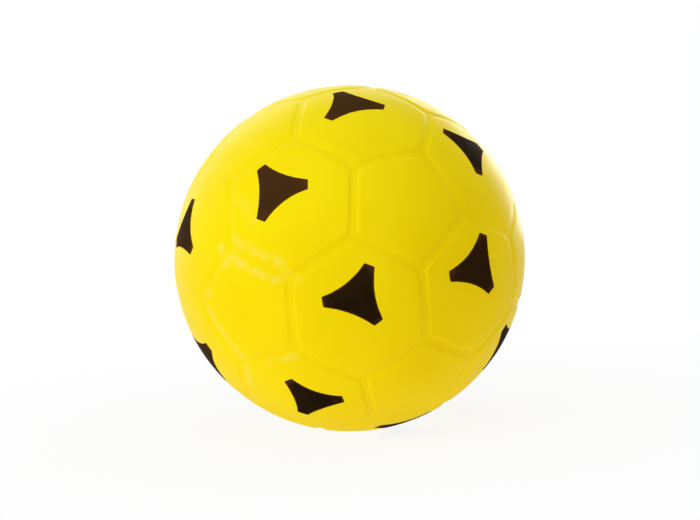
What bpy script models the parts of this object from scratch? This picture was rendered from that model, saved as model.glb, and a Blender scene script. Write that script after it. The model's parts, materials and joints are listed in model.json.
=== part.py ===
"""Foam soccer ball: a soft foam core in a two-part moulded skin, with a printed mark on each hexagon.

The ball is modelled round, about its own centre and with the mould's axis along Z. It then settles a little
under its own weight, and an empty sets it on the floor in the attitude it lies in. Lengths are metres, angles
are degrees, and +Z is up.
"""

import math
from collections import namedtuple

import bmesh
import bpy
from mathutils import Euler, Matrix, Vector

# Ball as it leaves the mould
BALL_DIAMETER = 0.200
SKIN_THICKNESS = 0.0016

# How much wider and lower the soft ball lies than it was moulded, and the flat that it rests on
RESTING_SPREAD = 0.0013
RESTING_DROP = 0.0013
REST_FLAT_DIAMETER = 0.026

# Moulded grooves along the seams between panels: flat floors between sloping flanks
GROOVE_WIDTH = 0.0076
GROOVE_FLOOR_WIDTH = 0.0020
GROOVE_DEPTH = 0.0006

# Printed mark: arms with cut-off tips, joined by hollow sides
MARK_ARMS = 3
MARK_REACH = 0.0186
MARK_TIP_WIDTH = 0.0059
MARK_WAIST = 0.0096
MARK_THICKNESS = 0.0005

# Extra reach, along the line to the pole, of the marks in the front half's outer ring, and where that starts
MARK_DRAW = 0.0015
OUTER_RING_START = 60.0

# How far the print sits from its place on the panels: turned about the mould's axis and slid from the front
# pole, with the front half's print tilted as well
PRINT_TWIST = 6.8
PRINT_SLIDE = 0.0028
PRINT_TILT_X = -2.1
PRINT_TILT_Y = -0.4

# How the ball lies: the compass heading and fall of the mould's front pole, and the turn about it
POLE_HEADING = -126.0
POLE_FROM_UP = 100.0
MOULD_TURN = 120.4

# Clearance between pieces that touch, and how far a cutter stands out of what it cuts
FIT_GAP = 0.0003
CUTTER_OVERRUN = 0.002

# Facets along a panel's edge and along a mark's hollow side
EDGE_STEPS = 3
SIDE_STEPS = 4

# Bend above which an edge is shaded sharp
SHARP_BEND = 30.0

# Colours and roughness
SKIN_YELLOW = (0.90, 0.68, 0.004)
FOAM_YELLOW = (0.85, 0.72, 0.25)
PRINT_BLACK = (0.018, 0.010, 0.005)
SKIN_ROUGHNESS = 0.42
FOAM_ROUGHNESS = 0.95
PRINT_ROUGHNESS = 0.45

# Worked out from the sizes above
BALL_RADIUS = BALL_DIAMETER / 2
SPREAD = 1 + RESTING_SPREAD / BALL_DIAMETER
DROP = 1 - RESTING_DROP / BALL_DIAMETER
CENTRE_HEIGHT = math.sqrt(BALL_RADIUS**2 - (REST_FLAT_DIAMETER / SPREAD / 2) ** 2)
ATTITUDE = (
    Matrix.Rotation(math.radians(POLE_HEADING), 3, "Z")
    @ Matrix.Rotation(math.radians(POLE_FROM_UP), 3, "Y")
    @ Matrix.Rotation(math.radians(MOULD_TURN), 3, "Z")
)
SETTLING = ATTITUDE.transposed() @ Matrix.Diagonal((SPREAD, SPREAD, DROP)) @ ATTITUDE

Mark = namedtuple("Mark", "is_front draw place")


def panel_net():
    """The ball's panels as flat faces: an icosahedron with every corner cut off at a third of its edges."""
    net = bmesh.new()
    bmesh.ops.create_icosphere(net, subdivisions=1, radius=BALL_RADIUS)
    bmesh.ops.bevel(
        net, geom=net.verts[:], offset=100 / 3, offset_type="PERCENT", segments=1, affect="VERTICES"
    )
    for vert in net.verts:
        vert.co = BALL_RADIUS * vert.co.normalized()
    net.normal_update()
    return net


def grooved_surface():
    """The ball's closed outer surface with a groove along every seam, its front faces marked in a layer."""
    surface = panel_net()
    front = surface.faces.layers.int.new("front")
    groove_floor = surface.faces.layers.int.new("groove_floor")
    panels = surface.faces[:]
    for panel in panels:
        panel[front] = panel.normal.z > 0

    lines = dict.fromkeys(surface.verts, "seam")
    floors = bmesh.ops.inset_individual(
        surface, faces=panels, thickness=GROOVE_FLOOR_WIDTH / 2, use_even_offset=True
    )
    for face in floors["faces"]:
        face[groove_floor] = True
    for vert in surface.verts:
        lines.setdefault(vert, "floor edge")
    flank_width = (GROOVE_WIDTH - GROOVE_FLOOR_WIDTH) / 2
    bmesh.ops.inset_individual(surface, faces=panels, thickness=flank_width, use_even_offset=True)
    bmesh.ops.poke(surface, faces=panels)
    for vert in surface.verts:
        lines.setdefault(vert, "panel")

    split = [edge for edge in surface.edges if lines[edge.verts[0]] == lines[edge.verts[1]]]
    bmesh.ops.subdivide_edges(surface, edges=split, cuts=EDGE_STEPS - 1, use_grid_fill=True)
    for vert in surface.verts:
        sunk = any(face[groove_floor] for face in vert.link_faces)
        vert.co = (BALL_RADIUS - GROOVE_DEPTH * sunk) * vert.co.normalized()
    surface.normal_update()
    return surface


def set_back_rim(surface, distance):
    """Draw an open surface's rim back from where it was, square to the rim and along the ball."""
    pulls = {}
    for edge in surface.edges:
        if edge.is_boundary:
            start, end = edge.verts
            middle = (start.co + end.co) / 2
            pull = (end.co - start.co).cross(middle).normalized()
            if pull.dot(edge.link_faces[0].calc_center_median() - middle) < 0:
                pull.negate()
            pulls.setdefault(start, []).append(pull)
            pulls.setdefault(end, []).append(pull)
    for vert, (one, other) in pulls.items():
        vert.co += distance * (one + other) / (1 + one.dot(other))


def thicken(surface, depth):
    """Turn an open surface on the ball into a solid wall that runs in towards the ball's centre."""
    wall = bmesh.ops.extrude_face_region(surface, geom=surface.faces[:], use_keep_orig=True)
    for item in wall["geom"]:
        if isinstance(item, bmesh.types.BMVert):
            item.co -= depth * item.co.normalized()
    bmesh.ops.recalc_face_normals(surface, faces=surface.faces[:])


def cut_at_floor(solid):
    """Flatten the ball's underside where it bears on the floor."""
    up = ATTITUDE.transposed() @ Vector((0, 0, 1))
    everything = solid.verts[:] + solid.edges[:] + solid.faces[:]
    cut = bmesh.ops.bisect_plane(
        solid, geom=everything, plane_co=-CENTRE_HEIGHT * up, plane_no=up, clear_inner=True
    )
    rim = [item for item in cut["geom_cut"] if isinstance(item, bmesh.types.BMEdge)]
    bmesh.ops.holes_fill(solid, edges=rim, sides=0)


def foam_core():
    """The foam filling: the ball's own form, smaller by the skin and its clearance."""
    core = grooved_surface()
    for vert in core.verts:
        vert.co -= (SKIN_THICKNESS + FIT_GAP) * vert.co.normalized()
    return core


def skin_half(is_front):
    """One mould half's skin, which meets the other half at the bottom of a zigzag of grooves."""
    skin = grooved_surface()
    front = skin.faces.layers.int["front"]
    others = [face for face in skin.faces if face[front] != is_front]
    bmesh.ops.delete(skin, geom=others, context="FACES")
    set_back_rim(skin, FIT_GAP / 2)
    thicken(skin, SKIN_THICKNESS)
    cut_at_floor(skin)
    return skin


def mark_outline(grow, draw):
    """Points round one mark laid flat with an arm along +X, grown by a clearance and drawn out along X."""
    tip_corner = Vector((MARK_REACH + grow, MARK_TIP_WIDTH / 2 + grow, 0))
    near_corner = Vector((tip_corner.x, -tip_corner.y, 0))
    waist = Vector((MARK_WAIST + grow, 0, 0))
    half_way = Matrix.Rotation(math.pi / MARK_ARMS, 3, "Z")
    points = []
    for arm in range(MARK_ARMS):
        turn = Matrix.Rotation(math.tau * arm / MARK_ARMS, 3, "Z")
        start = turn @ tip_corner
        middle = turn @ half_way @ waist
        end = turn @ half_way @ half_way @ near_corner
        pull = 2 * middle - (start + end) / 2
        points.append(turn @ near_corner)
        for step in range(SIDE_STEPS):
            t = step / SIDE_STEPS
            points.append((1 - t) ** 2 * start + 2 * t * (1 - t) * pull + t**2 * end)
    stretch = Matrix.Diagonal((1 + draw / MARK_REACH, 1, 1))
    return [stretch @ point for point in points]


def wrapped_plate(outline, place, top_radius, thickness):
    """A plate of the given flat outline, bent to the ball's curve and turned to its place on the ball."""
    plate = bmesh.new()
    face = plate.faces.new([plate.verts.new(point) for point in outline])
    bmesh.ops.poke(plate, faces=[face])
    spokes = [edge for edge in plate.edges if not edge.is_boundary]
    bmesh.ops.subdivide_edges(plate, edges=spokes, cuts=1)
    for vert in plate.verts:
        angle = vert.co.length / BALL_RADIUS
        sideways = math.sin(angle) * vert.co.normalized()
        vert.co = top_radius * (place @ (sideways + Vector((0, 0, math.cos(angle)))))
    thicken(plate, thickness)
    return plate


def printed_marks():
    """The marks in order from the front pole, each with the turn that takes it from +Z to its hexagon."""
    net = panel_net()
    twist = Matrix.Rotation(math.radians(PRINT_TWIST), 3, "Z")
    tilt = Euler((math.radians(PRINT_TILT_X), math.radians(PRINT_TILT_Y), 0)).to_matrix()
    marks = []
    for panel in net.faces:
        if len(panel.verts) == 6:
            out = panel.normal
            is_front = out.z > 0
            heading = math.atan2(out.y, out.x)
            from_pole = math.acos(out.z) + PRINT_SLIDE / BALL_RADIUS
            spot = Matrix.Rotation(heading, 3, "Z") @ Matrix.Rotation(from_pole, 3, "Y")
            draw = 0.0
            # An arm points at the pole of the mark's own half
            if is_front:
                spot = tilt @ spot @ Matrix.Rotation(math.pi, 3, "Z")
                draw = MARK_DRAW * (math.degrees(from_pole) > OUTER_RING_START)
            order = (round(math.degrees(from_pole)), round(math.degrees(heading)) % 360)
            marks.append((order, Mark(is_front, draw, twist @ spot)))
    net.free()
    return [mark for _, mark in sorted(marks, key=lambda entry: entry[0])]


def pocket_cutters(marks):
    """Solids that sink a pocket for each of the given marks, with clearance round and under it."""
    cutters = bmesh.new()
    for mark in marks:
        outline = mark_outline(FIT_GAP, mark.draw)
        depth = CUTTER_OVERRUN + MARK_THICKNESS + FIT_GAP
        pocket = wrapped_plate(outline, mark.place, BALL_RADIUS + CUTTER_OVERRUN, depth)
        mesh = bpy.data.meshes.new("pocket")
        pocket.to_mesh(mesh)
        pocket.free()
        cutters.from_mesh(mesh)
        bpy.data.meshes.remove(mesh)
    return cutters


def plain_material(name, colour, roughness):
    """A non-metallic finish."""
    finish = bpy.data.materials.new(name)
    finish.use_nodes = True
    shader = finish.node_tree.nodes["Principled BSDF"]
    shader.inputs["Base Color"].default_value = (*colour, 1.0)
    shader.inputs["Roughness"].default_value = roughness
    shader.inputs["Metallic"].default_value = 0.0
    return finish


def add_object(name, solid, collection, centre, finish=None):
    """Settle a solid modelled about the ball's centre and add it, carried by the ball's empty."""
    solid.transform(SETTLING.to_4x4())
    mesh = bpy.data.meshes.new(name)
    solid.to_mesh(mesh)
    solid.free()
    mesh.shade_smooth()
    mesh.set_sharp_from_angle(angle=math.radians(SHARP_BEND))
    if finish:
        mesh.materials.append(finish)
    thing = bpy.data.objects.new(name, mesh)
    thing.parent = centre
    collection.objects.link(thing)
    return thing


def new_collection(name):
    """An empty collection in the scene."""
    collection = bpy.data.collections.new(name)
    bpy.context.scene.collection.children.link(collection)
    return collection


def build():
    """Model the whole ball in an emptied scene."""
    for thing in list(bpy.data.objects):
        bpy.data.objects.remove(thing)
    parts = new_collection("foam_soccer_ball")
    cutters = new_collection("pocket_cutters")

    centre = bpy.data.objects.new("ball_centre", None)
    centre.matrix_world = Matrix.Translation((0, 0, DROP * CENTRE_HEIGHT)) @ ATTITUDE.to_4x4()
    parts.objects.link(centre)

    skin_finish = plain_material("yellow_skin", SKIN_YELLOW, SKIN_ROUGHNESS)
    foam_finish = plain_material("foam", FOAM_YELLOW, FOAM_ROUGHNESS)
    print_finish = plain_material("black_print", PRINT_BLACK, PRINT_ROUGHNESS)

    add_object("foam_core", foam_core(), parts, centre, foam_finish)

    marks = printed_marks()
    for name, is_front in (("front_skin", True), ("rear_skin", False)):
        skin = add_object(name, skin_half(is_front), parts, centre, skin_finish)
        own_marks = [mark for mark in marks if mark.is_front == is_front]
        cutter = add_object(name + "_pockets", pocket_cutters(own_marks), cutters, centre)
        cutter.hide_render = True
        cutter.display_type = "WIRE"
        pockets = skin.modifiers.new("mark pockets", "BOOLEAN")
        pockets.operation = "DIFFERENCE"
        pockets.object = cutter

    for number, mark in enumerate(marks, start=1):
        outline = mark_outline(0.0, mark.draw)
        plate = wrapped_plate(outline, mark.place, BALL_RADIUS, MARK_THICKNESS)
        cut_at_floor(plate)
        add_object(f"mark_{number:02d}", plate, parts, centre, print_finish)


build()
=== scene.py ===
"""Looks of the foam soccer ball: grooved skin, printed marks, foam filling, studio lights and camera.

The ball is modelled round, about its own centre and with the mould's axis along Z, then settled a little and
set on the floor in the attitude it lies in. Lengths are metres, angles are degrees, and +Z is up.
A place on the ball is given by its heading, which is -90 towards the camera, and its height above the middle.
"""

import json
import math
from collections import namedtuple

import bmesh
import bpy
import numpy as np
from mathutils import Euler, Matrix, Vector, noise

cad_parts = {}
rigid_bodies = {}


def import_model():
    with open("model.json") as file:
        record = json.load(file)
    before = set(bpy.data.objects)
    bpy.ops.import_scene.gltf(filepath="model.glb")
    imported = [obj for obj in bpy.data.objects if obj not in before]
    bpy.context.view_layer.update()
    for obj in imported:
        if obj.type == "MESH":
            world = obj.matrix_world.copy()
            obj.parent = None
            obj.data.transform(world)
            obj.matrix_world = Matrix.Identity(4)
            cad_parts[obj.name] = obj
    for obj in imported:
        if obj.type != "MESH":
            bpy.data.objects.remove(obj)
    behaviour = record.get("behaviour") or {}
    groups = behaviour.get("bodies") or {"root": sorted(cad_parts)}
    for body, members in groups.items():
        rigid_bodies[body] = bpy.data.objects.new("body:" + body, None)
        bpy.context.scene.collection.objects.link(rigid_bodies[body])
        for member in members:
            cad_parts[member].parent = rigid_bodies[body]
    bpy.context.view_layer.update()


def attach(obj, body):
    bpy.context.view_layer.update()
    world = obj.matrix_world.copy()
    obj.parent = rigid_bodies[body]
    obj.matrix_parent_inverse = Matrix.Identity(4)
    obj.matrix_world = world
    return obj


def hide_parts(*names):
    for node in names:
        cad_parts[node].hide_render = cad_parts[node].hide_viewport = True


# Ball, as in the part
BALL_DIAMETER = 0.200
SKIN_THICKNESS = 0.0016
RESTING_SPREAD = 0.0013
RESTING_DROP = 0.0013
REST_FLAT_DIAMETER = 0.026
FIT_GAP = 0.0003

# Grooves along the seams, as in the part, and how softly two of them run together at a corner
GROOVE_WIDTH = 0.0076
GROOVE_FLOOR_WIDTH = 0.0020
GROOVE_DEPTH = 0.0006
CORNER_SOFTNESS = 0.0010

# Slow unevenness of the moulded surface: height and length of each swell
SKIN_SWELLS = ((0.00010, 0.024), (0.00004, 0.009))
FOAM_SWELLS = ((0.00025, 0.006), (0.00012, 0.0025))

# Printed marks, as in the part
MARK_ARMS = 3
MARK_REACH = 0.0186
MARK_TIP_WIDTH = 0.0059
MARK_WAIST = 0.0096
MARK_DRAW = 0.0015
OUTER_RING_START = 60.0
PRINT_TWIST = 6.8
PRINT_SLIDE = 0.0028
PRINT_TILT_X = -2.1
PRINT_TILT_Y = -0.4

# Ink film of a mark: its height over the skin, how far its underside is sunk and how uneven its edge is
INK_HEIGHT = 0.00005
INK_ROOT = 0.00012
INK_EDGE_WOBBLE = 0.00012
INK_WOBBLE_LENGTH = 0.0028
INK_WOBBLE_SHIFT = 3.0

# Where the ink is painted a lighter brown as painted sheen, most on the upper left where the light comes
# from: heading and height of the middle, the distances that it fades over, and its strength
PAINTED_SHEEN_PATCHES = (
    (-110, 49, 0.035, 0.104, 1.0),
    (-160, -4, 0.050, 0.085, 0.45),
    (-48, 0, 0.022, 0.050, 0.25),
)

# Pale streaks, most of them along the seams, that stand for painted highlights on the seam lips and for
# rubbed wear: heading and height of both ends, size and strength
SHEEN_AND_RUB_STREAKS = (
    ((-129, 12), (-111, 5), 0.0045, 0.8),
    ((-134, 9), (-123, 4), 0.0045, 1.0),
    ((-133, 5), (-126, 9), 0.0045, 1.0),
    ((-121, 3), (-118, 2), 0.0045, 0.8),
    ((-114, 1), (-109, 1), 0.0050, 1.0),
    ((-107, 0), (-106, 0), 0.0040, 0.7),
    ((-142, -4), (-140, -5), 0.0045, 0.7),
    ((-142, -11), (-134, -26), 0.0055, 0.9),
    ((-133, -27), (-137, -37), 0.0050, 0.8),
    ((-121, -27), (-110, -25), 0.0030, 1.0),
    ((-128, 24), (-122, 19), 0.0060, 0.4),
    ((-20, 18), (-10, 12), 0.0045, 0.8),
    ((26, -10), (34, -16), 0.0050, 0.9),
    ((64, 31), (75, 27), 0.0045, 0.8),
    ((112, -18), (120, -26), 0.0050, 0.9),
    ((150, 13), (160, 8), 0.0045, 0.8),
)
SHEEN_AND_RUB_WANDER = 0.006

# Cloudy noise: how finely it is broken up, and the ranges of it that make a soft, lively or patchy mottle
SOFT_DETAIL = 2.0
FINE_DETAIL = 3.0
CLOUDY = (0.35, 0.65)
LIVELY = (0.30, 0.70)
PATCHY = (0.30, 0.60)

# Skin: colours, among them a painted shade deep in the grooves and a pale yellow for painted highlights and
# rubbed wear, how deep in a groove they change, sizes of tones, blotches, gloss and pebble, and its sheen
SKIN_YELLOWS = ((0.945, 0.72, 0.003, 1), (0.965, 0.745, 0.004, 1))
GROOVE_SHADE_YELLOW = (0.89, 0.66, 0.001, 1)
GROOVE_SHADE_SHARE = 0.1
GROOVE_SHADE_DEPTHS = (0.3, 1.0)
SHEEN_AND_RUB_YELLOW = (0.955, 0.76, 0.085, 1)
SHEEN_AND_RUB_IN_GROOVE = 0.2
SHEEN_AND_RUB_DEPTHS = (0.3, 0.9)
TONE_SIZE = 0.035
BLOTCH_SIZE = 0.004
SKIN_GLOSS_SIZE = 0.008
SKIN_ROUGHNESS = (0.30, 0.38)
SKIN_IOR = 1.1
SKIN_SHEEN = (1.0, 0.78, 0.05, 1)
PEBBLE_SIZE = 0.0016
PEBBLE_HEIGHT = 0.00006
PEBBLE_STRENGTH = 0.35

# Ink: colours, among them a lighter brown for painted sheen, how much thins out at the tips and along the
# edge, the sizes of its mottles, and its sheen
INK_BROWNS = ((0.0145, 0.0075, 0.0025, 1), (0.0185, 0.0095, 0.0035, 1))
PAINTED_SHEEN_BROWN = (0.058, 0.025, 0.007, 1)
THIN_BROWN = (0.100, 0.032, 0.009, 1)
THIN_TIP_SHARE = 0.7
THIN_TIP_START = 0.60
THIN_TIP_SIZE = 0.014
THIN_TIP_PATCHES = (0.40, 0.56)
THIN_RIM_SHARE = 0.5
THIN_RIM_START = 0.84
INK_CLOUD_SIZE = 0.012
INK_GLOSS_SIZE = 0.004
INK_ROUGHNESS = (0.38, 0.46)
INK_IOR = 1.02
INK_SHEEN = (0.30, 0.18, 0.08, 1)
INK_GRAIN_SIZE = 0.0009
INK_GRAIN_HEIGHT = 0.00004
INK_GRAIN_STRENGTH = 0.3

# Foam: colours, the size of its pores and tones, and its roughness
FOAM_CREAMS = ((0.80, 0.66, 0.20, 1), (0.88, 0.76, 0.32, 1))
PORE_BROWN = (0.55, 0.42, 0.10, 1)
PORE_SIZE = 0.0018
PORE_RANGE = (0.1, 0.6)
PORE_HEIGHT = 0.0004
PORE_STRENGTH = 0.8
FOAM_TONE_SIZE = 0.02
FOAM_ROUGHNESS = 0.95

# How the ball lies, as in the part
POLE_HEADING = -126.0
POLE_FROM_UP = 100.0
MOULD_TURN = 120.4

# Mesh fineness: steps along a panel's edge, rings across its groove and its middle, points along a mark's
# hollow side and round its outline, and rings of the ink from its edge inwards
EDGE_STEPS = 14
FLOOR_RINGS = 2
FLANK_RINGS = 9
RING_GROWTH = 1.35
WIDEST_RING = 0.0040
SIDE_STEPS = 60
OUTLINE_STEP = 0.0007
INK_RINGS = (1.0, 0.985, 0.93, 0.80, 0.60, 0.40, 0.20)
WELD_DISTANCE = 1e-6
SHARP_BEND = 40.0

# Camera: it looks along +Y from a little above, tipped by a small roll
CAMERA_DISTANCE = 1.200
CAMERA_ELEVATION = 6.0
CAMERA_ROLL = 3.0
CAMERA_RIGHT = 0.00019
CAMERA_UP = -0.00096
CAMERA_LENS = 107.1

# Light of the surroundings as it falls on the ball, and what shows of them
SKY_GLOW = 0.41
FLOOR_GLOW = 0.95
GLOW_COLOUR = (1.0, 0.922, 0.87, 1)
WHITE = (1.0, 1.0, 1.0, 1)

# Floor, how much of the shadow on it shows to the eye and in the ball's gloss, and where that fades out
FLOOR_SIZE = 8.0
SHADOW_SHARE = 0.12
REFLECTED_SHARE = 0.90
FADE_START = 0.06
FADE_END = 0.40
FLOOR_WHITE = (0.9, 0.9, 0.9, 1)

# Lamps: heading, height, size and how bright each makes a surface that faces it
LAMP_DISTANCE = 1.5
LAMP_COLOUR = (0.85, 1.0, 1.0)
SOFT_LAMPS = {
    "key": (-144, 12, (0.6, 0.5), 0.37),
    "overhead": (-90, 80, (1.5, 1.5), 0.48),
}
GLOSS_LAMPS = {
    "side_light": (135, 20, (1.2, 1.6), 0.27),
    "back_light": (98, 32, (1.0, 0.9), 0.15),
    "rim_light": (64, 12, (0.8, 0.8), 0.35),
}

# Worked out from the sizes above
BALL_RADIUS = BALL_DIAMETER / 2
GROOVE_REACH = GROOVE_WIDTH / 2
GROOVE_FLOOR_REACH = GROOVE_FLOOR_WIDTH / 2
SPREAD = 1 + RESTING_SPREAD / BALL_DIAMETER
DROP = 1 - RESTING_DROP / BALL_DIAMETER
CENTRE_HEIGHT = math.sqrt(BALL_RADIUS**2 - (REST_FLAT_DIAMETER / SPREAD / 2) ** 2)
ATTITUDE = (
    Matrix.Rotation(math.radians(POLE_HEADING), 3, "Z")
    @ Matrix.Rotation(math.radians(POLE_FROM_UP), 3, "Y")
    @ Matrix.Rotation(math.radians(MOULD_TURN), 3, "Z")
)
CENTRE = Vector((0, 0, DROP * CENTRE_HEIGHT))
PLACE = Matrix.Translation(CENTRE) @ (Matrix.Diagonal((SPREAD, SPREAD, DROP)) @ ATTITUDE).to_4x4()

Mark = namedtuple("Mark", "draw place")


def towards(heading, height):
    """The direction from the ball's centre to a heading and a height."""
    turn = Matrix.Rotation(math.radians(heading), 3, "Z") @ Matrix.Rotation(-math.radians(height), 3, "Y")
    return turn @ Vector((1, 0, 0))


def panel_net():
    """The ball's panels as flat faces: an icosahedron with every corner cut off at a third of its edges."""
    net = bmesh.new()
    bmesh.ops.create_icosphere(net, subdivisions=1, radius=BALL_RADIUS)
    bmesh.ops.bevel(
        net, geom=net.verts[:], offset=100 / 3, offset_type="PERCENT", segments=1, affect="VERTICES"
    )
    for vert in net.verts:
        vert.co = BALL_RADIUS * vert.co.normalized()
    net.normal_update()
    return net


def swell(direction, swells):
    """Unevenness of the surface in a direction from the ball's centre."""
    spot = BALL_RADIUS * Vector(direction)
    return sum(height * noise.noise(spot / length) for height, length in swells)


def smooth_step(share):
    """A share clipped to 0 and 1 and eased at both ends."""
    share = np.clip(share, 0, 1)
    return share * share * (3 - 2 * share)


class Panel:
    """One flat panel of the net, with the grid of rings that runs from its seams to its middle."""

    def __init__(self, face):
        self.is_front = face.normal.z > 0
        self.middle = np.array(face.calc_center_median())
        corners = np.array([vert.co for vert in face.verts])
        following = np.roll(corners, -1, axis=0)
        spans = (corners + following) / 2 - self.middle
        self.inradius = float(np.linalg.norm(spans[0]))
        self.outward = spans / self.inradius
        # Steps crowd towards the corners, where the rings bend
        share = 0.5 - 0.5 * np.cos(np.pi * np.arange(EDGE_STEPS) / EDGE_STEPS)
        self.rim = np.concatenate(
            [a + share[:, None] * (b - a) for a, b in zip(corners, following)]
        )

    def ring(self, inset):
        """Points round the panel at a distance from its seams."""
        return self.middle + (self.rim - self.middle) * (1 - inset / self.inradius)

    def groove(self, points):
        """How far down in the groove each point is: 1 on the floor, 0 on the panel."""
        distances = self.inradius - (points - self.middle) @ self.outward.T
        nearest = -CORNER_SOFTNESS * np.log(np.exp(-distances / CORNER_SOFTNESS).sum(axis=1))
        return smooth_step((GROOVE_REACH - nearest) / (GROOVE_REACH - GROOVE_FLOOR_REACH))

    def insets(self, fine):
        """Distances of the rings from the seams, close together across the groove."""
        floor = np.linspace(0, GROOVE_FLOOR_REACH, FLOOR_RINGS if fine else 1, endpoint=False)
        flank = np.linspace(GROOVE_FLOOR_REACH, GROOVE_REACH, FLANK_RINGS if fine else 2)
        insets = [*floor, *flank]
        step = (GROOVE_REACH - GROOVE_FLOOR_REACH) / (FLANK_RINGS if fine else 2)
        while insets[-1] + step < self.inradius - step / 2:
            insets.append(insets[-1] + step)
            step = min(step * RING_GROWTH, WIDEST_RING if fine else 2 * WIDEST_RING)
        return insets


def add_patch(surface, panel, fine, sunk, swells):
    """Add one panel's patch to a surface, sunk below the ball's skin, and note how deep each point lies."""
    groove_layer = surface.verts.layers.float["groove"]
    rings = []
    for inset in [*panel.insets(fine), panel.inradius]:
        points = panel.ring(inset) if inset < panel.inradius else panel.middle[None, :]
        ring = []
        for point, groove in zip(points, panel.groove(points)):
            direction = Vector(point).normalized()
            radius = BALL_RADIUS - sunk - GROOVE_DEPTH * groove + swell(direction, swells)
            vert = surface.verts.new(radius * direction)
            vert[groove_layer] = groove
            ring.append(vert)
        rings.append(ring)
    centre = rings.pop()[0]
    for outer, inner in zip(rings, rings[1:]):
        for i in range(len(outer)):
            surface.faces.new((outer[i - 1], outer[i], inner[i], inner[i - 1]))
    last = rings[-1]
    for i in range(len(last)):
        surface.faces.new((last[i - 1], last[i], centre))


def patched_surface(panels, fine, sunk, swells):
    """The patches of several panels, joined along the seams between them."""
    surface = bmesh.new()
    surface.verts.layers.float.new("groove")
    for panel in panels:
        add_patch(surface, panel, fine, sunk, swells)
    bmesh.ops.remove_doubles(surface, verts=surface.verts[:], dist=WELD_DISTANCE)
    return surface


def add_piece(name, solid, material, nodes):
    """Put a solid modelled about the ball's centre into the scene in place of CAD nodes."""
    solid.transform(PLACE)
    for vert in solid.verts:
        vert.co.z = max(vert.co.z, 0)
    bmesh.ops.recalc_face_normals(solid, faces=solid.faces[:])
    mesh = bpy.data.meshes.new(name)
    solid.to_mesh(mesh)
    solid.free()
    mesh.shade_smooth()
    mesh.set_sharp_from_angle(angle=math.radians(SHARP_BEND))
    mesh.materials.append(material)
    piece = bpy.data.objects.new(name, mesh)
    bpy.context.scene.collection.objects.link(piece)
    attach(piece, "root")
    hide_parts(*nodes)
    return piece


def skin_half(panels):
    """One mould half's skin as a closed wall: fine outside, plainer inside, joined round the parting line."""
    skin = patched_surface(panels, True, 0.0, SKIN_SWELLS)
    lining = patched_surface(panels, False, SKIN_THICKNESS, ())
    bmesh.ops.reverse_faces(lining, faces=lining.faces[:])
    mesh = bpy.data.meshes.new("lining")
    lining.to_mesh(mesh)
    lining.free()
    skin.from_mesh(mesh)
    bpy.data.meshes.remove(mesh)
    rims = [edge for edge in skin.edges if edge.is_boundary]
    bmesh.ops.bridge_loops(skin, edges=rims)
    return skin


def mark_outline(draw):
    """Points round one mark laid flat, with one arm along +X and drawn out along it, its corners rounded."""
    tip_corner = np.array([MARK_REACH, MARK_TIP_WIDTH / 2])
    near_corner = tip_corner * (1, -1)
    half_way = np.pi / MARK_ARMS

    def turned(point, angle):
        return np.array([
            point[0] * np.cos(angle) - point[1] * np.sin(angle),
            point[0] * np.sin(angle) + point[1] * np.cos(angle),
        ])

    corners = []
    t = np.linspace(0, 1, SIDE_STEPS)[:, None]
    for arm in range(MARK_ARMS):
        turn = 2 * half_way * arm
        start = turned(tip_corner, turn)
        middle = turned(np.array([MARK_WAIST, 0]), turn + half_way)
        end = turned(near_corner, turn + 2 * half_way)
        pull = 2 * middle - (start + end) / 2
        corners.append(turned(near_corner, turn)[None, :])
        corners.append((1 - t) ** 2 * start + 2 * t * (1 - t) * pull + t**2 * end)
    path = np.concatenate([*corners, corners[0]]) * (1 + draw / MARK_REACH, 1)
    along = np.concatenate([[0], np.cumsum(np.linalg.norm(np.diff(path, axis=0), axis=1))])
    count = round(along[-1] / OUTLINE_STEP)
    spots = np.linspace(0, along[-1], count, endpoint=False)
    points = np.stack([np.interp(spots, along, path[:, axis]) for axis in range(2)], axis=1)
    return 0.25 * np.roll(points, 1, axis=0) + 0.5 * points + 0.25 * np.roll(points, -1, axis=0)


def printed_marks():
    """The marks in order from the front pole, each with the turn that takes it from +Z to its hexagon."""
    net = panel_net()
    twist = Matrix.Rotation(math.radians(PRINT_TWIST), 3, "Z")
    tilt = Euler((math.radians(PRINT_TILT_X), math.radians(PRINT_TILT_Y), 0)).to_matrix()
    marks = []
    for panel in net.faces:
        if len(panel.verts) == 6:
            out = panel.normal
            heading = math.atan2(out.y, out.x)
            from_pole = math.acos(out.z) + PRINT_SLIDE / BALL_RADIUS
            spot = Matrix.Rotation(heading, 3, "Z") @ Matrix.Rotation(from_pole, 3, "Y")
            draw = 0.0
            # An arm points at the pole of the mark's own half
            if out.z > 0:
                spot = tilt @ spot @ Matrix.Rotation(math.pi, 3, "Z")
                draw = MARK_DRAW * (math.degrees(from_pole) > OUTER_RING_START)
            order = (round(math.degrees(from_pole)), round(math.degrees(heading)) % 360)
            marks.append((order, Mark(draw, twist @ spot)))
    net.free()
    return [mark for _, mark in sorted(marks, key=lambda entry: entry[0])]


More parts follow.
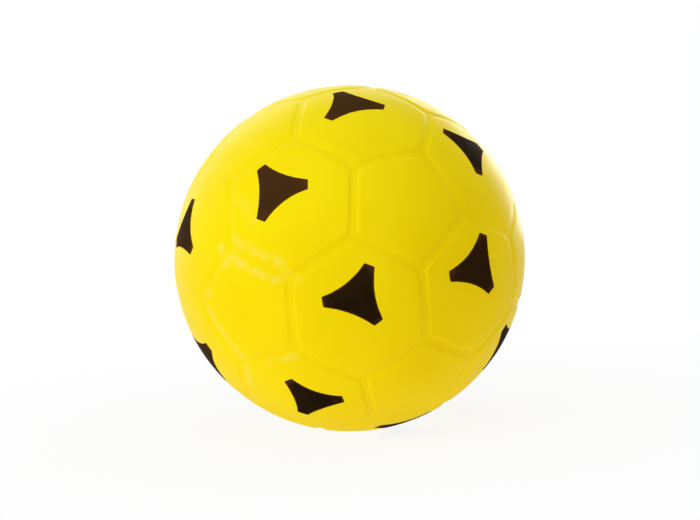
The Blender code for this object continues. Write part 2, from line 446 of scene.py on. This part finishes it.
def ink_mark(mark):
    """One printed mark: a thin film that follows the skin, with an edge that is never quite even."""
    outline = mark_outline(mark.draw)
    place = mark.place
    film = bmesh.new()
    tip = film.verts.layers.float.new("tip")
    rim = film.verts.layers.float.new("rim")
    rings = []
    for share in INK_RINGS:
        ring = []
        for x, y in outline:
            flat = Vector((x, y, 0))
            wobble = noise.noise((place @ flat) / INK_WOBBLE_LENGTH + INK_WOBBLE_SHIFT * place.col[2])
            flat = share * (flat + INK_EDGE_WOBBLE * wobble * flat.normalized())
            vert = film.verts.new(flat)
            vert[tip] = flat.length / MARK_REACH
            vert[rim] = share
            ring.append(vert)
        rings.append(ring)
    centre = film.verts.new((0, 0, 0))
    root = [film.verts.new(vert.co) for vert in rings[0]]
    root_centre = film.verts.new((0, 0, 0))
    heights = {**dict.fromkeys([*root, root_centre], -INK_ROOT), **dict.fromkeys(rings[0], 0)}
    for vert in film.verts:
        angle = vert.co.length / BALL_RADIUS
        direction = place @ (math.sin(angle) * vert.co.normalized() + Vector((0, 0, math.cos(angle))))
        height = heights.get(vert, INK_HEIGHT)
        vert.co = (BALL_RADIUS + height + swell(direction, SKIN_SWELLS)) * direction
    for outer, inner in zip([root, *rings], rings):
        for i in range(len(outer)):
            film.faces.new((outer[i - 1], outer[i], inner[i], inner[i - 1]))
    for ring, middle in ((rings[-1], centre), (root, root_centre)):
        for i in range(len(ring)):
            film.faces.new((ring[i - 1], ring[i], middle))
    return film


def add_node(tree, kind, inputs=None, **settings):
    """A shader node with its settings, its input values and its links."""
    made = tree.nodes.new(kind)
    for name, value in settings.items():
        setattr(made, name, value)
    for name, value in (inputs or {}).items():
        if isinstance(value, bpy.types.NodeSocket):
            tree.links.new(value, made.inputs[name])
        else:
            made.inputs[name].default_value = value
    return made


def blend_colours(tree, factor, below, above):
    """A colour that goes from one to another with a factor."""
    mix = add_node(tree, "ShaderNodeMix", {0: factor, 6: below, 7: above}, data_type="RGBA")
    return mix.outputs[2]


def remap(tree, value, low, high, to_low=0.0, to_high=1.0):
    """A value eased from one range to another."""
    ranges = {"Value": value, "From Min": low, "From Max": high, "To Min": to_low, "To Max": to_high}
    return add_node(tree, "ShaderNodeMapRange", ranges, interpolation_type="SMOOTHSTEP").outputs["Result"]


def multiply(tree, one, other):
    """The product of two values."""
    return add_node(tree, "ShaderNodeMath", {0: one, 1: other}, operation="MULTIPLY").outputs[0]


def larger(tree, one, other):
    """The larger of two values."""
    return add_node(tree, "ShaderNodeMath", {0: one, 1: other}, operation="MAXIMUM").outputs[0]


def mottle(tree, place, size, detail=SOFT_DETAIL):
    """Cloudy noise with patches of about the given size."""
    return add_node(
        tree, "ShaderNodeTexNoise", {"Vector": place, "Scale": 1 / size, "Detail": detail}
    ).outputs["Fac"]


def new_material(name):
    """A material with its tree, its shader and the place of each point on the ball."""
    material = bpy.data.materials.new(name)
    material.use_nodes = True
    tree = material.node_tree
    shader = tree.nodes["Principled BSDF"]
    place = add_node(tree, "ShaderNodeTexCoord").outputs["Object"]
    return material, tree, shader, place


def add_bump(tree, shader, height, strength, distance):
    """Roughen a shader's surface by a pattern of heights."""
    inputs = {"Height": height, "Strength": strength, "Distance": distance}
    bump = add_node(tree, "ShaderNodeBump", inputs)
    tree.links.new(bump.outputs["Normal"], shader.inputs["Normal"])


def attribute(tree, name):
    """A value kept at each point of the mesh."""
    return add_node(tree, "ShaderNodeAttribute", attribute_name=name).outputs["Fac"]


def vector_math(tree, operation, *inputs):
    """The outcome of a vector operation."""
    made = add_node(tree, "ShaderNodeVectorMath", dict(enumerate(inputs)), operation=operation)
    return made.outputs["Value" if operation in ("DOT_PRODUCT", "DISTANCE", "LENGTH") else "Vector"]


def on_ball(heading, height):
    """The point of the ball's surface at a heading and a height."""
    return CENTRE + BALL_RADIUS * towards(heading, height)


def sheen_and_rub_streaks(tree, place):
    """How much painted highlight and rubbed wear the skin has: each streak's strength along its wandering
    line, and 0 away from them all.
    """
    ripple = add_node(tree, "ShaderNodeTexNoise", {"Vector": place, "Scale": 1 / SHEEN_AND_RUB_WANDER}).outputs["Color"]
    ripple = vector_math(tree, "SUBTRACT", ripple, (0.5, 0.5, 0.5))
    place = vector_math(tree, "MULTIPLY_ADD", ripple, (SHEEN_AND_RUB_WANDER, SHEEN_AND_RUB_WANDER, SHEEN_AND_RUB_WANDER), place)
    sheen_and_rub = 0.0
    for *ends, size, strength in SHEEN_AND_RUB_STREAKS:
        start, end = (on_ball(*spot) for spot in ends)
        run = end - start
        away = vector_math(tree, "SUBTRACT", place, start)
        along = vector_math(tree, "DOT_PRODUCT", away, run / run.length_squared)
        along = add_node(tree, "ShaderNodeClamp", {"Value": along}).outputs["Result"]
        nearest = vector_math(tree, "MULTIPLY", run, along)
        streak = remap(tree, vector_math(tree, "DISTANCE", away, nearest), 0.0, size, strength, 0.0)
        sheen_and_rub = larger(tree, sheen_and_rub, streak)
    return sheen_and_rub


def painted_sheen_patches(tree, place):
    """How much painted sheen lightens the ink to brown: each patch's strength near its middle, and 0 away
    from them all.
    """
    painted_sheen = 0.0
    for heading, height, full, gone, strength in PAINTED_SHEEN_PATCHES:
        away = vector_math(tree, "DISTANCE", place, on_ball(heading, height))
        painted_sheen = larger(tree, painted_sheen, remap(tree, away, full, gone, strength, 0.0))
    return painted_sheen


def skin_material():
    """Satin yellow skin: a fine pebble, a painted shade that makes it a touch deeper in the grooves, and
    paler streaks of painted highlight and rubbed wear.
    """
    material, tree, shader, place = new_material("yellow_skin")
    groove = attribute(tree, "groove")

    tone = remap(tree, mottle(tree, place, TONE_SIZE), *CLOUDY)
    yellow = blend_colours(tree, tone, *SKIN_YELLOWS)
    # Painted shade: the yellow turns a touch darker towards the floor of each groove.
    groove_shade = remap(tree, groove, *GROOVE_SHADE_DEPTHS, 0.0, GROOVE_SHADE_SHARE)
    yellow = blend_colours(tree, groove_shade, yellow, GROOVE_SHADE_YELLOW)

    # Painted highlights and rubbed wear: pale streaks along the seam lips, broken up in blotches and fainter
    # in the groove floor.
    blotch = remap(tree, mottle(tree, place, BLOTCH_SIZE, FINE_DETAIL), *PATCHY)
    high = remap(tree, groove, *SHEEN_AND_RUB_DEPTHS, 1.0, SHEEN_AND_RUB_IN_GROOVE)
    sheen_and_rub = multiply(tree, multiply(tree, sheen_and_rub_streaks(tree, place), blotch), high)
    yellow = blend_colours(tree, sheen_and_rub, yellow, SHEEN_AND_RUB_YELLOW)
    tree.links.new(yellow, shader.inputs["Base Color"])

    gloss = remap(tree, mottle(tree, place, SKIN_GLOSS_SIZE, FINE_DETAIL), *LIVELY, *SKIN_ROUGHNESS)
    tree.links.new(gloss, shader.inputs["Roughness"])
    shader.inputs["IOR"].default_value = SKIN_IOR
    shader.inputs["Specular Tint"].default_value = SKIN_SHEEN

    add_bump(tree, shader, mottle(tree, place, PEBBLE_SIZE), PEBBLE_STRENGTH, PEBBLE_HEIGHT)
    return material


def ink_material():
    """Brown-black printing ink, browner with painted sheen in patches towards the light, along its edge and
    at the tips of the arms.
    """
    material, tree, shader, place = new_material("black_print")

    cloud = remap(tree, mottle(tree, place, INK_CLOUD_SIZE), *CLOUDY)
    ink = blend_colours(tree, cloud, *INK_BROWNS)
    # Painted sheen: the ink is lightened to brown in patches, most on the upper left where the light comes
    # from.
    ink = blend_colours(tree, painted_sheen_patches(tree, place), ink, PAINTED_SHEEN_BROWN)
    tip = remap(tree, attribute(tree, "tip"), THIN_TIP_START, 1.0, 0.0, THIN_TIP_SHARE)
    patches = remap(tree, mottle(tree, place, THIN_TIP_SIZE), *THIN_TIP_PATCHES)
    rim = remap(tree, attribute(tree, "rim"), THIN_RIM_START, 1.0, 0.0, THIN_RIM_SHARE)
    thin = larger(tree, multiply(tree, tip, patches), rim)
    ink = blend_colours(tree, thin, ink, THIN_BROWN)
    tree.links.new(ink, shader.inputs["Base Color"])

    gloss = remap(tree, mottle(tree, place, INK_GLOSS_SIZE, FINE_DETAIL), *LIVELY, *INK_ROUGHNESS)
    tree.links.new(gloss, shader.inputs["Roughness"])
    shader.inputs["IOR"].default_value = INK_IOR
    shader.inputs["Specular Tint"].default_value = INK_SHEEN

    add_bump(tree, shader, mottle(tree, place, INK_GRAIN_SIZE), INK_GRAIN_STRENGTH, INK_GRAIN_HEIGHT)
    return material


def foam_material():
    """Open-celled foam: small round pores in a dull cream yellow."""
    material, tree, shader, place = new_material("foam")
    cells = add_node(tree, "ShaderNodeTexVoronoi", {"Vector": place, "Scale": 1 / PORE_SIZE})
    pore = remap(tree, cells.outputs["Distance"], *PORE_RANGE)
    cream = blend_colours(tree, mottle(tree, place, FOAM_TONE_SIZE), *FOAM_CREAMS)
    cream = blend_colours(tree, pore, PORE_BROWN, cream)
    tree.links.new(cream, shader.inputs["Base Color"])
    shader.inputs["Roughness"].default_value = FOAM_ROUGHNESS
    add_bump(tree, shader, pore, PORE_STRENGTH, PORE_HEIGHT)
    return material


def build_ball():
    """All the ball's pieces, each in place of its CAD node."""
    net = panel_net()
    panels = [Panel(face) for face in net.faces]
    net.free()

    yellow = skin_material()
    for name, is_front in (("front", True), ("rear", False)):
        half = [panel for panel in panels if panel.is_front == is_front]
        add_piece(f"{name}_half_skin", skin_half(half), yellow, [f"{name}_skin"])

    sunk = SKIN_THICKNESS + FIT_GAP + FOAM_SWELLS[0][0] + FOAM_SWELLS[1][0]
    filling = patched_surface(panels, False, sunk, FOAM_SWELLS)
    core = add_piece("foam_filling", filling, foam_material(), ["foam_core"])

    ink = ink_material()
    for number, mark in enumerate(printed_marks(), start=1):
        add_piece(f"ink_mark_{number:02d}", ink_mark(mark), ink, [f"mark_{number:02d}"])


def seen_rays(tree):
    """1 for rays that the camera or a reflection sees, 0 for rays that carry light."""
    path = add_node(tree, "ShaderNodeLightPath")
    seen = larger(tree, path.outputs["Is Camera Ray"], path.outputs["Is Glossy Ray"])
    return larger(tree, seen, path.outputs["Is Transmission Ray"])


def build_world():
    """White all round to the eye, and an even soft light on the ball."""
    world = bpy.data.worlds.new("studio")
    bpy.context.scene.world = world
    world.use_nodes = True
    tree = world.node_tree
    background = tree.nodes["Background"]
    seen = seen_rays(tree)
    tree.links.new(blend_colours(tree, seen, GLOW_COLOUR, WHITE), background.inputs["Color"])
    strength = remap(tree, seen, 0.0, 1.0, SKY_GLOW, 1.0)
    tree.links.new(strength, background.inputs["Strength"])


def build_floor():
    """A white light table that shows the ball's shadow close to it and fades to plain white."""
    mesh = bpy.data.meshes.new("floor")
    plane = bmesh.new()
    bmesh.ops.create_grid(plane, x_segments=1, y_segments=1, size=FLOOR_SIZE / 2)
    plane.to_mesh(mesh)
    plane.free()
    floor = bpy.data.objects.new("floor", mesh)
    bpy.context.scene.collection.objects.link(floor)

    material = bpy.data.materials.new("light_table")
    material.use_nodes = True
    mesh.materials.append(material)
    tree = material.node_tree
    tree.nodes.remove(tree.nodes["Principled BSDF"])
    place = add_node(tree, "ShaderNodeTexCoord").outputs["Object"]
    away = vector_math(tree, "LENGTH", place)
    shade = add_node(tree, "ShaderNodeBsdfDiffuse", {"Color": FLOOR_WHITE})
    seen = seen_rays(tree)
    glow = add_node(
        tree,
        "ShaderNodeEmission",
        {
            "Color": blend_colours(tree, seen, GLOW_COLOUR, WHITE),
            "Strength": remap(tree, seen, 0.0, 1.0, FLOOR_GLOW, 1.0),
        },
    )
    reflected = add_node(tree, "ShaderNodeLightPath").outputs["Is Glossy Ray"]
    nearest = remap(tree, reflected, 0.0, 1.0, SHADOW_SHARE, REFLECTED_SHARE)
    share = remap(tree, away, FADE_START, FADE_END, nearest, 0.0)
    mix = add_node(
        tree, "ShaderNodeMixShader", {0: share, 1: glow.outputs["Emission"], 2: shade.outputs["BSDF"]}
    )
    tree.links.new(mix.outputs["Shader"], tree.nodes["Material Output"].inputs["Surface"])


def add_lamp(name, heading, height, size, brightness, gloss_only):
    """A broad soft lamp that faces the ball, for either the even light or the gloss."""
    data = bpy.data.lights.new(name, "AREA")
    data.shape = "RECTANGLE"
    data.size, data.size_y = size
    data.energy = brightness * (math.pi * LAMP_DISTANCE) ** 2
    data.color = WHITE[:3] if gloss_only else LAMP_COLOUR
    lamp = bpy.data.objects.new(name, data)
    lamp.visible_camera = False
    lamp.visible_diffuse = not gloss_only
    lamp.visible_glossy = gloss_only
    aim = towards(heading, height)
    lamp.location = CENTRE + LAMP_DISTANCE * aim
    lamp.rotation_euler = aim.to_track_quat("Z", "Y").to_euler()
    bpy.context.scene.collection.objects.link(lamp)


def build_lamps():
    """Two soft lamps that light the ball, and three behind it whose reflections brighten its edges."""
    for name, lamp in SOFT_LAMPS.items():
        add_lamp(name, *lamp, gloss_only=False)
    for name, lamp in GLOSS_LAMPS.items():
        add_lamp(name, *lamp, gloss_only=True)


def build_camera():
    """The photograph's view."""
    data = bpy.data.cameras.new("camera")
    data.lens = CAMERA_LENS
    camera = bpy.data.objects.new("camera", data)
    turn = Matrix.Rotation(math.radians(90 - CAMERA_ELEVATION), 3, "X") @ Matrix.Rotation(
        math.radians(-CAMERA_ROLL), 3, "Z"
    )
    offset = turn @ Vector((CAMERA_RIGHT, CAMERA_UP, CAMERA_DISTANCE))
    camera.matrix_world = Matrix.Translation(CENTRE + offset) @ turn.to_4x4()
    bpy.context.scene.collection.objects.link(camera)
    bpy.context.scene.camera = camera


for thing in list(bpy.data.objects):
    bpy.data.objects.remove(thing)
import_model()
build_ball()
build_world()
build_floor()
build_lamps()
build_camera()
bpy.context.scene.view_settings.view_transform = "Standard"
